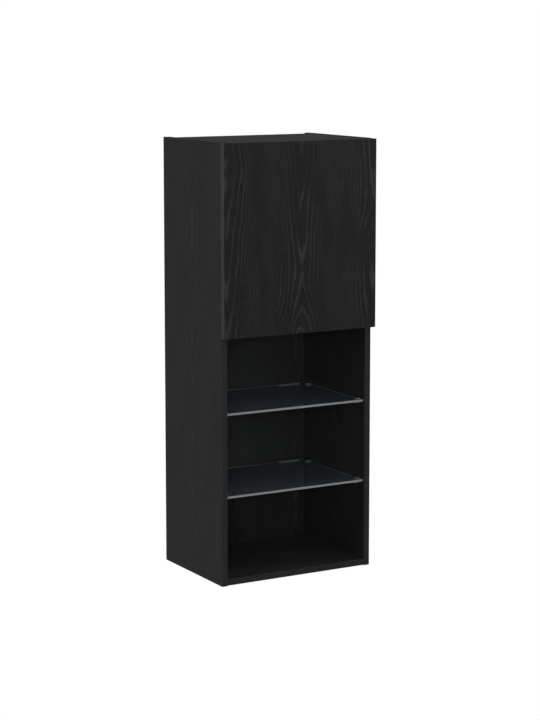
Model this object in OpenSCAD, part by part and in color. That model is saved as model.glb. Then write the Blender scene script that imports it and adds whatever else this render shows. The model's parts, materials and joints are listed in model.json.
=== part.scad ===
// Hanging wall cabinet: a board carcass with one door above and an open niche with two glass
// shelves below. X runs along the wall, +Y points to the wall and +Z is up. The origin lies on
// the wall plane, midway between the two fixing holes of the rail.

/* [Carcass] */
// Width over the two side panels
body_w = 400; // [360:5:600]
// Depth of the side panels, front edge to wall
side_d = 283; // [270:1:350]
// Overall height
body_h = 1020; // [980:5:1200]
// Thickness of the carcass boards
board_t = 15; // [15:1:18]
// Setback of the top and bottom panels from the ends of the sides
end_inset = 1; // [0.5:0.5:3]
// Clear height of each of the three lower bays
bay_h = 188; // [160:1:195]
// Thickness of the back panel
back_t = 3; // [3:0.5:4]
// Width of the rebate in each side that takes the back panel
rebate_w = 6; // [6:0.5:8]
// Thickness of the fixing rail, between the top panel and the back panel
rail_t = 15; // [15:1:18]
// Height of the fixing rail
rail_h = 80; // [70:5:100]

/* [Door] */
// Thickness of the door
door_t = 15; // [15:1:18]
// Gap between the carcass and the door's inner face
door_gap = 2; // [2:0.25:2.5]
// Overhang of the door past each side panel
door_side = 2.5; // [2:0.25:2.5]
// Drop of the door's upper edge below the top of the sides
door_drop = 1; // [0.5:0.5:3]
// Length of door below the middle panel, held to pull it open
door_pull = 13; // [8:1:25]
// Radius of the door's eased edges
door_ease = 1; // [0.5:0.25:1.5]
// Distance from each end of the door to its hinge
hinge_inset = 100; // [70:5:120]

/* [Shelves] */
// Thickness of the glass
glass_t = 5; // [4:0.5:6]
// Play at each end of a glass shelf
glass_play = 2; // [1.5:0.25:3]
// Setback of the glass behind the carcass front
glass_front = 4.5; // [2:0.5:10]
// Play behind the glass
glass_rear = 3; // [2.5:0.25:5]
// Centre of the front clamps, behind the carcass front
clamp_front = 25; // [20:1:40]
// Centre of the rear clamps, in front of the back panel
clamp_rear = 32; // [30:1:60]
// Length of the clip-on light
light_l = 61; // [40:1:80]
// Distance from the light to the right side panel
light_side = 20; // [16:1:80]

/* [Wall fixing] */
// Distance between the two fixing holes
hang_pitch = 300; // [260:5:310]
// Diameter of the fixing holes
hang_hole_d = 6; // [5:0.5:8]
// Depth of the fixing holes below the top of the sides
hang_drop = 55; // [50:1:60]

/* [Hidden] */

$fn = 48;
eps = 1;

// Colours
black_oak = [0.06, 0.06, 0.06];
dark_edge = [0.09, 0.09, 0.09];
steel = [0.72, 0.73, 0.75];
zinc = [0.62, 0.63, 0.65];
glass_tint = [0.45, 0.55, 0.58, 0.4];
light_grey = [0.45, 0.47, 0.48];
lens_white = [0.92, 0.93, 0.9];
soft_clear = [0.8, 0.82, 0.82];
birch = [0.78, 0.64, 0.45];
black_plastic = [0.05, 0.05, 0.05];

// Carcass, worked out from the driving dimensions
inner_w = body_w - 2 * board_t;
panel_d = side_d - back_t;
top_d = panel_d - rail_t;
bottom_z = end_inset;
bottom_top = bottom_z + board_t;
middle_z = bottom_top + 3 * bay_h + 2 * glass_t;
top_z = body_h - end_inset - board_t;
hang_z = body_h - hang_drop;
rail_z = hang_z - rail_h / 2;
back_inset = 2;
back_overlap = rebate_w - 0.5;
nail_r = 0.7;
nail_l = 16;
nail_head_r = 1.7;
nail_head_t = 0.6;
nail_in = 3;
nail_rows = 6;
nail_end = 60;

// Door
door_w = body_w + 2 * door_side;
door_z = middle_z - door_pull;
door_h = body_h - door_drop - door_z;
hinge_zs = [door_z + door_h - hinge_inset, door_z + hinge_inset];

// Glass shelves and their clamps
glass_w = inner_w - 2 * glass_play;
glass_d = panel_d - glass_front - glass_rear;
glass_zs = [bottom_top + 2 * bay_h + glass_t, bottom_top + bay_h];
clamp_ys = [clamp_front, panel_d - clamp_rear];
clamp_reach = 12;
clamp_l = 10;
clamp_up = 2.2;
clamp_down = 5;
clamp_back_t = 1.4;
pad_t = 0.6;
pad_l = 9;
pad_reach = 9.5;
peg_r = 2;
peg_l = 9;
peg_drop = 2.9;
clamp_nose_r = 1.2;
clamp_screw_r = 1.7;
clamp_screw_x = 7.2;
clamp_screw_head_r = 2.6;
clamp_screw_head_h = 1.4;

// Clip-on light
light_top = 2.4;
light_wall = 1.5;
light_lip = 11;
light_body = 15;
light_under = 6.5;
light_gap = 0.5;
lens_w = 8;
lens_t = 1.2;

// Fixed play between a fastener and its hole
play = 0.05;

// Board fittings
cam_r = 7.4;
cam_h = 11.8;
cam_hole_r = 7.5;
cam_hole_h = 12;
cam_inset = 24;
cam_head_r = 3.3;
cam_neck_r = 2.2;
cam_shank_r = 3;
cam_pocket_r = 3.7;
cam_play = 0.3;
cam_slot_w = 1.4;
cam_slot_d = 2;
cam_head_back = 1;
cam_head_front = 1.5;
bolt_thread_r = 2.5;
bolt_thread_l = 10;
cap_r = 8.5;
cap_t = 0.8;
cap_play = 0.2;
cap_wall = 1.2;
end_play = 0.2;
dowel_r = 4;
dowel_side_l = 11;
dowel_panel_l = 19;
fitting_ys = [50, 215];
dowel_shift = 32;
rail_cam_up = 20;

// Hinge, in its own frame: x inwards from the outer face of the side panel, y forwards from the
// carcass front, z up from the middle of the hinge. The door turns about one pin in the cup.
pivot_x = 4.1;
pivot_y = 12;
cup_r = 17.4;
cup_bore_r = 17.5;
cup_bore_h = 13;
cup_wall = 0.5;
cup_rim = 0.6;
cup_edge = 3;
cup_x = cup_edge - door_side + cup_bore_r;
flange_t = 0.8;
flange_h = 62;
flange_w = 17;
flange_r = 5;
cup_screw_pitch = 45;
cup_screw_shift = 9.5;
cup_screw_r = 1.7;
cup_screw_l = 10;
cup_screw_head_h = 1.4;
ear_in = 3.5;
ear_t = 2;
ear_r = 2;
ear_w = 4.4;
pin_r = 1.25;
pin_play = 0.05;
neck_z = 3.2;
neck_eye_r = 2.1;
neck_t = 3.2;
neck_x = 19.5;
neck_low = 0.3;
neck_rise = 10;
neck_bend_r = 4.5;
neck_root_y = -12;
arm_front_y = -6;
arm_rear_y = -58;
arm_web_t = 2;
arm_side_t = 1.5;
arm_half_z = 7.8;
arm_top_x = board_t + 7.4;
plate_y = -37;
plate_wing_z = 22;
plate_wing_w = 10;
plate_wing_t = 3.2;
plate_half_z = 5.9;
plate_front_y = -14;
plate_rear_y = -56;
plate_ridge_t = 5;
arm_low_x = board_t + plate_wing_t + 0.3;
plate_screw_z = 16;
plate_screw_r = 1.8;
plate_screw_l = 11;
screw_head_r = 3.4;
screw_head_h = 2;
recess_l = 3.6;
recess_w = 0.8;
recess_d = 0.9;
arm_screw_r = 1.9;
arm_screw_ys = [-22, -46];
arm_screw_l = 6.5;
spring_t = 0.6;
spring_z = 2.6;
spring_y = -5;
spring_len = 16;
spring_bow = 1.2;

// Bumper pads on the door
bumper_r = 4;
bumper_t = 1.7;
bumper_inset = 35;

// ---- Placing ----

// Carries the carcass frame (left outer face, front edge, underside) to the part's own frame
module placed() translate([-body_w / 2, -side_d, -hang_z]) children();

// Hinge frame at height z on the right side panel
module at_hinge(z) placed() translate([body_w, 0, z]) rotate([0, 0, 180]) children();

// Clamp frame: x inwards from the panel's face, y centre, z up from the glass underside
module at_clamp(side, y, z)
  placed()
    if (side == "left") translate([board_t, y, z]) children();
    else translate([body_w - board_t, y, z]) rotate([0, 0, 180]) children();

// A fitting's frame at the end of a panel: x along the panel, away from the side's inner face
module at_end(side, y, z)
  if (side == "left") translate([board_t, y, z]) children();
  else translate([body_w - board_t, y, z]) rotate([0, 0, 180]) children();

module bar_x(r, x0, x1) translate([x0, 0, 0]) rotate([0, 90, 0]) cylinder(r = r, h = x1 - x0);
module bar_y(r, y0, y1) translate([0, y0, 0]) rotate([-90, 0, 0]) cylinder(r = r, h = y1 - y0);

module rounded_rect(size, r) {
  translate([r, 0]) square([size.x - 2 * r, size.y]);
  translate([0, r]) square([size.x, size.y - 2 * r]);
  for (x = [r, size.x - r], y = [r, size.y - r]) translate([x, y]) circle(r);
}

// ---- Board fittings: where they are ----

// Height of the middle of each horizontal panel's thickness
panel_zs = [bottom_z, middle_z, top_z];
rail_mid_y = panel_d - rail_t / 2;

// Children at every cam of the horizontal panels: x along the panel, z from mid-thickness
module at_panel_cams(side, zs = panel_zs)
  for (z = zs, y = fitting_ys) at_end(side, y, z + board_t / 2) children();

module at_panel_dowels(side, zs = panel_zs)
  for (z = zs, y = [fitting_ys[0] + dowel_shift, fitting_ys[1] - dowel_shift])
    at_end(side, y, z + board_t / 2) children();

// The rail's cams are bored from its rear face, so their frame is tipped onto its back
module at_rail_cam(side)
  at_end(side, rail_mid_y, rail_z + rail_h / 2 + rail_cam_up)
    rotate([side == "left" ? 90 : -90, 0, 0]) children();

module at_rail_dowel(side) at_end(side, rail_mid_y, rail_z + rail_h / 2 - rail_cam_up) children();

module at_all_cams()
  for (side = ["left", "right"]) {
    at_panel_cams(side) children();
    at_rail_cam(side) children();
  }

module at_all_dowels()
  for (side = ["left", "right"]) {
    at_panel_dowels(side) children();
    at_rail_dowel(side) children();
  }

// ---- Board fittings: their shapes and holes ----

// Cam bore, open on the underside, and the bolt's bore from the panel's end
module cam_holes(t) {
  translate([cam_inset, 0, -t / 2 - eps]) cylinder(r = cam_hole_r, h = cam_hole_h + eps);
  bar_x(cam_pocket_r, -eps, cam_inset);
}

module dowel_hole(depth) bar_x(dowel_r + play, -depth, depth);

module cam_disc(t)
  translate([cam_inset, 0, -t / 2 + cap_t])
    difference() {
      cylinder(r = cam_r, h = cam_h - cap_t);
      translate([0, 0, t / 2 - cap_t]) bar_x(cam_head_r + cam_play, -cam_r - eps, cam_head_r);
      for (turn = [45, 135])
        rotate([0, 0, turn]) translate([-cam_r / 2, -cam_slot_w / 2, -eps])
          cube([cam_r, cam_slot_w, cam_slot_d + eps]);
    }

module cam_bolt() {
  bar_x(bolt_thread_r, -bolt_thread_l, 0);
  bar_x(cam_shank_r, 0, cam_inset - cam_r - cam_play);
  bar_x(cam_neck_r, cam_inset - cam_r - cam_play, cam_inset - cam_head_back);
  bar_x(cam_head_r, cam_inset - cam_head_back, cam_inset + cam_head_front);
}

module cam_cap(t)
  translate([cam_inset, 0, -t / 2 - cap_t])
    difference() {
      union() {
        cylinder(r = cap_r, h = cap_t);
        cylinder(r = cam_r - cap_play, h = 2 * cap_t);
      }
      translate([0, 0, cap_t]) cylinder(r = cam_r - cap_play - cap_wall, h = cap_t + eps);
    }

module cam_discs() color(zinc) placed() at_all_cams() cam_disc(board_t);
module cam_bolts() color(steel) placed() at_all_cams() cam_bolt();
module wooden_dowels()
  color(birch) placed() at_all_dowels() bar_x(dowel_r, -dowel_side_l, dowel_panel_l);
// Only the cams of the middle and top panels can be seen from inside, so only they have caps
module cam_caps()
  color(black_plastic) placed()
    for (side = ["left", "right"]) at_panel_cams(side, [middle_z, top_z]) cam_cap(board_t);

// ---- Boards ----

// Children at every nail of the back panel, in two columns into the sides and in pairs into the
// rear edges of the middle and bottom panels: z runs forwards from the panel's rear face
module at_nails() {
  for (x = [board_t - nail_in, body_w - board_t + nail_in], n = [0 : nail_rows - 1])
    translate([x, side_d, nail_end + n * (body_h - 2 * nail_end) / (nail_rows - 1)])
      rotate([90, 0, 0]) children();
  for (x = [body_w / 3, body_w * 2 / 3], z = [bottom_z, middle_z])
    translate([x, side_d, z + board_t / 2]) rotate([90, 0, 0]) children();
}

module nail_holes() at_nails() cylinder(r = nail_r + play, h = nail_l + end_play);

// A side panel's holes, cut from the inner face
module side_holes(side) {
  at_panel_cams(side) bar_x(bolt_thread_r + play, -bolt_thread_l - end_play, eps);
  at_rail_cam(side) bar_x(bolt_thread_r + play, -bolt_thread_l - end_play, eps);
  at_panel_dowels(side) dowel_hole(dowel_side_l + end_play);
  at_rail_dowel(side) dowel_hole(dowel_side_l + end_play);
  for (z = glass_zs, y = clamp_ys)
    at_end(side, y, z - peg_drop) bar_x(peg_r + play, -peg_l - end_play, eps);
}

module side_board(side) {
  x = side == "left" ? 0 : body_w - board_t;
  rebate_x = side == "left" ? board_t - rebate_w : body_w - board_t - eps;
  difference() {
    placed() translate([x, 0, 0]) cube([board_t, side_d, body_h]);
    placed() translate([rebate_x, panel_d, -eps])
      cube([rebate_w + eps, back_t + eps, body_h + 2 * eps]);
    placed() side_holes(side);
    placed() nail_holes();
    if (side == "right")
      for (z = hinge_zs, s = [-1, 1])
        at_hinge(z) translate([0, plate_y, s * plate_screw_z])
          bar_x(plate_screw_r + play, board_t - plate_screw_l - end_play, board_t + eps);
  }
}

module left_side() color(black_oak) side_board("left");
module right_side() color(black_oak) side_board("right");

module flat_panel(z, d = panel_d)
  color(black_oak) placed()
    difference() {
      translate([board_t, 0, z]) cube([inner_w, d, board_t]);
      for (side = ["left", "right"]) {
        at_panel_cams(side, [z]) cam_holes(board_t);
        at_panel_dowels(side, [z]) dowel_hole(dowel_panel_l + end_play);
      }
      nail_holes();
    }

module top_panel() flat_panel(top_z, top_d);
module middle_panel() flat_panel(middle_z);
module bottom_panel() flat_panel(bottom_z);

// The two holes that the wall screws go through
module hang_holes(y0, y1)
  for (s = [-1, 1])
    translate([body_w / 2 + s * hang_pitch / 2, 0, hang_z]) bar_y(hang_hole_d / 2, y0, y1);

module back_panel()
  color(black_oak) placed()
    difference() {
      translate([board_t - back_overlap, panel_d, bottom_z + back_inset])
        cube([inner_w + 2 * back_overlap, back_t, body_h - 2 * (end_inset + back_inset)]);
      hang_holes(panel_d - eps, side_d + eps);
      nail_holes();
      at_nails() translate([0, 0, -eps]) cylinder(r = nail_head_r + play, h = nail_head_t + eps);
    }

module back_nails()
  color(steel) placed()
    at_nails() {
      cylinder(r = nail_head_r, h = nail_head_t);
      cylinder(r = nail_r, h = nail_l);
    }

module fixing_rail()
  color(black_oak) placed()
    difference() {
      translate([board_t, top_d, rail_z]) cube([inner_w, rail_t, rail_h]);
      for (side = ["left", "right"]) {
        at_rail_cam(side) cam_holes(rail_t);
        at_rail_dowel(side) dowel_hole(dowel_panel_l + end_play);
      }
      hang_holes(top_d - eps, side_d + eps);
    }

// ---- Door ----

// A board with all its long edges eased: the common part of two rounded prisms
module eased_board(size, r)
  intersection() {
    linear_extrude(size.z) rounded_rect([size.x, size.y], r);
    translate([0, size.y, 0]) rotate([90, 0, 0]) linear_extrude(size.y) rounded_rect([size.x, size.z], r);
  }

module door()
  color(black_oak)
    difference() {
      placed() translate([-door_side, -door_gap - door_t, door_z])
        eased_board([door_w, door_t, door_h], door_ease);
      for (z = hinge_zs)
        at_hinge(z) {
          translate([cup_x, 0, 0]) bar_y(cup_bore_r, door_gap - eps, door_gap + cup_bore_h);
          for (s = [-1, 1])
            translate([cup_x + cup_screw_shift, 0, s * cup_screw_pitch / 2])
              bar_y(cup_screw_r + play, door_gap - eps, door_gap + cup_screw_l);
        }
    }

module door_bumpers()
  color(soft_clear) placed()
    for (z = [door_z + door_pull + bumper_inset, door_z + door_h - bumper_inset])
      translate([board_t / 2, 0, z]) bar_y(bumper_r, -door_gap, -door_gap + bumper_t);

// ---- Hinges ----

module cup_ears()
  for (s = [-1, 1])
    translate([pivot_x, pivot_y, s * (ear_in + ear_t / 2) - ear_t / 2]) {
      cylinder(r = ear_r, h = ear_t);
      translate([-ear_r, 0, 0]) cube([ear_w, door_gap + cup_bore_h - pivot_y - cup_wall / 2, ear_t]);
    }

module hinge_cup(z)
  color(steel) at_hinge(z)
    difference() {
      union() {
        difference() {
          union() {
            translate([cup_x, 0, 0]) bar_y(cup_r, door_gap - flange_t, door_gap + cup_bore_h);
            translate([cup_x, 0, 0]) bar_y(cup_r + cup_rim, door_gap - flange_t, door_gap);
            translate([cup_x + cup_screw_shift - flange_w / 2, door_gap, -flange_h / 2])
              rotate([90, 0, 0]) linear_extrude(flange_t) rounded_rect([flange_w, flange_h], flange_r);
          }
          translate([cup_x, 0, 0])
            bar_y(cup_r - cup_wall, door_gap - flange_t - eps, door_gap + cup_bore_h - cup_wall);
        }
        cup_ears();
      }
      translate([pivot_x, pivot_y, -ear_in - ear_t - eps])
        cylinder(r = pin_r, h = 2 * (ear_in + ear_t + eps));
      for (s = [-1, 1])
        translate([cup_x + cup_screw_shift, 0, s * cup_screw_pitch / 2])
          bar_y(cup_screw_r + play, -eps, door_gap + eps);
    }

module hinge_pin(z)
  color(steel) at_hinge(z)
    translate([pivot_x, pivot_y, -ear_in - ear_t]) cylinder(r = pin_r, h = 2 * (ear_in + ear_t));

// What is cut from a square corner to round it, with the arc's centre at the origin
module corner_waste(r) difference() {
  square(r + eps);
  circle(r);
}

// Side view of the arm's curved neck: an eye, a flat reach over the cup's rim and a leg back
module neck_outline() {
  top = pivot_y + neck_eye_r;
  out_x = neck_x + neck_t;
  difference() {
    union() {
      translate([pivot_x, pivot_y]) circle(neck_eye_r);
      polygon([
        [pivot_x, pivot_y - neck_eye_r], [pivot_x + neck_rise, pivot_y - neck_low],
        [neck_x, pivot_y - neck_low], [neck_x, neck_root_y],
        [out_x, neck_root_y], [out_x, top], [pivot_x, top],
      ]);
    }
    translate([out_x - neck_bend_r, top - neck_bend_r]) corner_waste(neck_bend_r);
    translate([pivot_x, pivot_y]) circle(pin_r + pin_play);
  }
}

module hinge_arm(z)
  color(steel) at_hinge(z) {
    translate([0, 0, -neck_z]) linear_extrude(2 * neck_z) neck_outline();
    difference() {
      union() {
        translate([arm_top_x - arm_web_t, arm_rear_y, -arm_half_z])
          cube([arm_web_t, arm_front_y - arm_rear_y, 2 * arm_half_z]);
        for (s = [-1, 1])
          translate([arm_low_x, arm_rear_y, s * (arm_half_z - arm_side_t / 2) - arm_side_t / 2])
            cube([arm_top_x - arm_low_x, arm_front_y - arm_rear_y, arm_side_t]);
      }
      for (y = arm_screw_ys)
        translate([0, y, 0]) bar_x(arm_screw_r + end_play, board_t, arm_top_x + eps);
    }
  }

// Leaf spring on the arm's neck, which reaches into the cup and draws the door shut
module hinge_spring(z)
  color(steel) at_hinge(z)
    translate([neck_x + neck_t, spring_y, -spring_z]) {
      cube([spring_t, spring_len - spring_bow, 2 * spring_z]);
      translate([spring_bow, spring_len - spring_bow, 0])
        difference() {
          cylinder(r = spring_bow, h = 2 * spring_z);
          translate([0, 0, -eps]) cylinder(r = spring_bow - spring_t, h = 2 * (spring_z + eps));
          translate([-2 * spring_bow, -2 * spring_bow, -eps])
            cube([4 * spring_bow, 2 * spring_bow, 2 * (spring_z + eps)]);
        }
    }

module hinge_plate(z)
  color(steel) at_hinge(z)
    difference() {
      union() {
        translate([board_t, plate_y - plate_wing_w / 2, -plate_wing_z])
          cube([plate_wing_t, plate_wing_w, 2 * plate_wing_z]);
        translate([board_t, plate_rear_y, -plate_half_z])
          cube([plate_ridge_t, plate_front_y - plate_rear_y, 2 * plate_half_z]);
      }
      for (s = [-1, 1])
        translate([0, plate_y, s * plate_screw_z])
          bar_x(plate_screw_r + play, board_t - eps, board_t + plate_ridge_t + eps);
      for (y = arm_screw_ys)
        translate([0, y, 0]) bar_x(arm_screw_r + play, board_t - eps, board_t + plate_ridge_t + eps);
    }

// A screw along +x: its head's underside at x = 0, with a cross recess in the head
module screw(r, l, head_h = screw_head_h) {
  bar_x(r, -l, 0);
  difference() {
    bar_x(screw_head_r, 0, head_h);
    for (turn = [0, 90])
      rotate([turn, 0, 0]) translate([head_h - recess_d, -recess_l / 2, -recess_w / 2])
        cube([recess_d + eps, recess_l, recess_w]);
  }
}

module cup_screws()
  color(steel)
    for (z = hinge_zs, s = [-1, 1])
      at_hinge(z)
        translate([cup_x + cup_screw_shift, door_gap - flange_t, s * cup_screw_pitch / 2])
          rotate([0, 0, -90]) screw(cup_screw_r, cup_screw_l, cup_screw_head_h);

module plate_screws()
  color(steel)
    for (z = hinge_zs, s = [-1, 1])
      at_hinge(z) translate([board_t + plate_wing_t, plate_y, s * plate_screw_z])
        screw(plate_screw_r, plate_screw_l + plate_wing_t);

module arm_screws()
  color(steel)
    for (z = hinge_zs, y = arm_screw_ys)
      at_hinge(z) translate([arm_top_x, y, 0]) screw(arm_screw_r, arm_screw_l);

// ---- Glass shelves ----

module glass_shelf(z)
  color(glass_tint) placed()
    translate([board_t + glass_play, glass_front, z]) cube([glass_w, glass_d, glass_t]);

// Clamp in side view: a C that holds the glass, with a rounded nose above
module clamp_outline() {
  difference() {
    union() {
      translate([0, -clamp_down]) square([clamp_reach, clamp_down + glass_t + clamp_up - clamp_nose_r]);
      translate([0, -clamp_down])
        square([clamp_reach - clamp_nose_r, clamp_down + glass_t + clamp_up]);
      translate([clamp_reach - clamp_nose_r, glass_t + clamp_up - clamp_nose_r]) circle(clamp_nose_r);
    }
    translate([clamp_back_t, -pad_t]) square([clamp_reach, glass_t + 2 * pad_t]);
  }
}

module clamp_body(side, y, z)
  color(zinc) at_clamp(side, y, z) {
    difference() {
      translate([0, clamp_l / 2, 0]) rotate([90, 0, 0]) linear_extrude(clamp_l) clamp_outline();
      translate([clamp_screw_x, 0, -clamp_down - eps])
        cylinder(r = clamp_screw_r + play, h = clamp_down - pad_t + 2 * eps);
    }
    translate([0, 0, -peg_drop]) bar_x(peg_r, -peg_l, 0);
  }

module at_shelf_clamps(z)
  for (side = ["left", "right"], y = clamp_ys) at_clamp(side, y, z) children();

module clamp_pads(z)
  color(soft_clear) at_shelf_clamps(z)
    for (up = [-pad_t, glass_t])
      translate([glass_play, -pad_l / 2, up]) cube([pad_reach, pad_l, pad_t]);

module clamp_screws(z)
  color(steel) at_shelf_clamps(z)
    translate([clamp_screw_x, 0, -clamp_down - clamp_screw_head_h])
      difference() {
        union() {
          cylinder(r = clamp_screw_head_r, h = clamp_screw_head_h);
          cylinder(r = clamp_screw_r, h = clamp_screw_head_h + clamp_down - pad_t);
        }
        translate([-clamp_screw_head_r - eps, -recess_w / 2, -eps])
          cube([2 * (clamp_screw_head_r + eps), recess_w, recess_d + eps]);
      }

// ---- Clip-on lights, in a frame with y forwards from the glass's rear edge, z from its underside

module at_light(z)
  placed()
    translate([body_w - board_t - light_side, panel_d - glass_rear, z])
      rotate([0, 0, 180]) children();

module light_housing(z)
  color(light_grey) at_light(z)
    difference() {
      translate([0, -light_wall - light_gap, -light_under])
        cube([light_l, light_wall + light_gap + light_body, light_under + glass_t + light_top]);
      // slot for the glass and its soft grip
      translate([-eps, -light_gap, -light_gap])
        cube([light_l + 2 * eps, light_body + light_gap + eps, glass_t + 2 * light_gap]);
      // the upper lip is shorter than the body below
      translate([-eps, light_lip, glass_t]) cube([light_l + 2 * eps, light_body, light_top + eps]);
      // window for the lens, open downwards
      translate([light_wall, light_body - lens_w - light_wall, -light_under - eps])
        cube([light_l - 2 * light_wall, lens_w, lens_t + eps]);
    }

module light_lens(z)
  color(lens_white) at_light(z)
    translate([light_wall, light_body - lens_w - light_wall, -light_under])
      cube([light_l - 2 * light_wall, lens_w, lens_t]);

module light_grip(z)
  color(soft_clear) at_light(z)
    difference() {
      translate([light_wall, -light_gap, -light_gap])
        cube([light_l - 2 * light_wall, light_lip, glass_t + 2 * light_gap]);
      cube([light_l, light_body, glass_t]);
    }

// ---- One module per node ----

module upper_hinge_cup() hinge_cup(hinge_zs[0]);
module lower_hinge_cup() hinge_cup(hinge_zs[1]);
module upper_hinge_pin() hinge_pin(hinge_zs[0]);
module lower_hinge_pin() hinge_pin(hinge_zs[1]);
module upper_hinge_arm() hinge_arm(hinge_zs[0]);
module lower_hinge_arm() hinge_arm(hinge_zs[1]);
module upper_hinge_spring() hinge_spring(hinge_zs[0]);
module lower_hinge_spring() hinge_spring(hinge_zs[1]);
module upper_hinge_plate() hinge_plate(hinge_zs[0]);
module lower_hinge_plate() hinge_plate(hinge_zs[1]);
module upper_glass_shelf() glass_shelf(glass_zs[0]);
module lower_glass_shelf() glass_shelf(glass_zs[1]);
module upper_left_front_clamp() clamp_body("left", clamp_ys[0], glass_zs[0]);
module upper_left_rear_clamp() clamp_body("left", clamp_ys[1], glass_zs[0]);
module upper_right_front_clamp() clamp_body("right", clamp_ys[0], glass_zs[0]);
module upper_right_rear_clamp() clamp_body("right", clamp_ys[1], glass_zs[0]);
module lower_left_front_clamp() clamp_body("left", clamp_ys[0], glass_zs[1]);
module lower_left_rear_clamp() clamp_body("left", clamp_ys[1], glass_zs[1]);
module lower_right_front_clamp() clamp_body("right", clamp_ys[0], glass_zs[1]);
module lower_right_rear_clamp() clamp_body("right", clamp_ys[1], glass_zs[1]);
module upper_clamp_pads() clamp_pads(glass_zs[0]);
module lower_clamp_pads() clamp_pads(glass_zs[1]);
module upper_clamp_screws() clamp_screws(glass_zs[0]);
module lower_clamp_screws() clamp_screws(glass_zs[1]);
module upper_light_housing() light_housing(glass_zs[0]);
module lower_light_housing() light_housing(glass_zs[1]);
module upper_light_lens() light_lens(glass_zs[0]);
module lower_light_lens() light_lens(glass_zs[1]);
module upper_light_grip() light_grip(glass_zs[0]);
module lower_light_grip() light_grip(glass_zs[1]);

left_side();
right_side();
top_panel();
middle_panel();
bottom_panel();
back_panel();
back_nails();
fixing_rail();
door();
door_bumpers();
upper_hinge_cup();
lower_hinge_cup();
upper_hinge_pin();
lower_hinge_pin();
upper_hinge_arm();
lower_hinge_arm();
upper_hinge_spring();
lower_hinge_spring();
upper_hinge_plate();
lower_hinge_plate();
cup_screws();
plate_screws();
arm_screws();
upper_glass_shelf();
lower_glass_shelf();
upper_left_front_clamp();
upper_left_rear_clamp();
upper_right_front_clamp();
upper_right_rear_clamp();
lower_left_front_clamp();
lower_left_rear_clamp();
lower_right_front_clamp();
lower_right_rear_clamp();
upper_clamp_pads();
lower_clamp_pads();
upper_clamp_screws();
lower_clamp_screws();
upper_light_housing();
lower_light_housing();
upper_light_lens();
lower_light_lens();
upper_light_grip();
lower_light_grip();
cam_discs();
cam_bolts();
cam_caps();
wooden_dowels();
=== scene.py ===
"""Hanging wall cabinet: the finished boards, glass, clamps, lights and hinges, built on the CAD frame.

Every length is in metres, in the frame of the CAD model: X along the wall, +Y to the wall, +Z up.
"""

import json
import math

import bmesh
import bpy
import numpy as np
from bpy.props import FloatProperty, FloatVectorProperty, PointerProperty
from mathutils import Euler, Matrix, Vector

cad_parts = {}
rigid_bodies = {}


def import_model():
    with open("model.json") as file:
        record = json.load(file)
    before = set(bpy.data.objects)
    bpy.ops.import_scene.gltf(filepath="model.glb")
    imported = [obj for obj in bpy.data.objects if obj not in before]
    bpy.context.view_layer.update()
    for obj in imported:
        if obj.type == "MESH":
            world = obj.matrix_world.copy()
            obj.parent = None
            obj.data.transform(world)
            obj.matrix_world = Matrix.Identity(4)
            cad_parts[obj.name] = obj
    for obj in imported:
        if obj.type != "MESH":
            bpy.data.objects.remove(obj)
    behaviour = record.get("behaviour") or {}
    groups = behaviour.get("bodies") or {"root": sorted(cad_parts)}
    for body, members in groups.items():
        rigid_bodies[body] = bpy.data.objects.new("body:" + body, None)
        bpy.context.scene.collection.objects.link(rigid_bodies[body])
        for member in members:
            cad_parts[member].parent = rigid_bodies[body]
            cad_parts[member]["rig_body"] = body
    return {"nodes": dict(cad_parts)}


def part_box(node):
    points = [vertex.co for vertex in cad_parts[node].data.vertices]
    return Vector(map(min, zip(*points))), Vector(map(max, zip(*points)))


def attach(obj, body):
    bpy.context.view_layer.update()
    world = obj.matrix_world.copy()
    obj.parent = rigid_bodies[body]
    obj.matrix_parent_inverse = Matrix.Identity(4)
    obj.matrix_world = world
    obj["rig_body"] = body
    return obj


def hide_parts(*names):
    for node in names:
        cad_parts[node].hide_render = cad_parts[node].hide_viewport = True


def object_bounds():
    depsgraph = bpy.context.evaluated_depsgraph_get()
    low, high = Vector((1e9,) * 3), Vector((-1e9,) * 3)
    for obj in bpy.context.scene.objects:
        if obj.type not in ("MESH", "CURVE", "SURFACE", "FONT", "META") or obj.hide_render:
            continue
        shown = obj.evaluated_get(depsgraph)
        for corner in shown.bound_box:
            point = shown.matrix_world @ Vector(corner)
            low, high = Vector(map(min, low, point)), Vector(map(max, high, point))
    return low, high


bl_info = {
    "name": "Hanging Wall Cabinet",
    "version": (1, 0, 0),
    "blender": (4, 5, 0),
    "location": "3D View > Sidebar > Cabinet",
    "description": "Builds a hanging wall cabinet with a door, two glass shelves and clip-on lights",
    "category": "Object",
}

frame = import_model()
CAD_BOUNDS = [list(corner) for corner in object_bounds()]

MM = 0.001
X, Y, Z = 0, 1, 2
MERGE = 1e-6
FLAT = math.radians(0.5)
SHARP = math.radians(40)

# ---- Places, taken from the frame ----

DOOR_LOW, DOOR_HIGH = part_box("door")
SIDE_LOW, SIDE_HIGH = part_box("left_side")
LEVELS = ("upper", "lower")
SIDES = ("left", "right")


# ---- Settings a user would change ----


def length(name, description, default):
    """A length property, in metres."""
    return FloatProperty(name=name, description=description, default=default, unit="LENGTH", precision=5)


def colour(name, description, default):
    """A linear colour property."""
    return FloatVectorProperty(
        name=name, description=description, default=default, subtype="COLOR", size=3, min=0, max=1
    )


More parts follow.
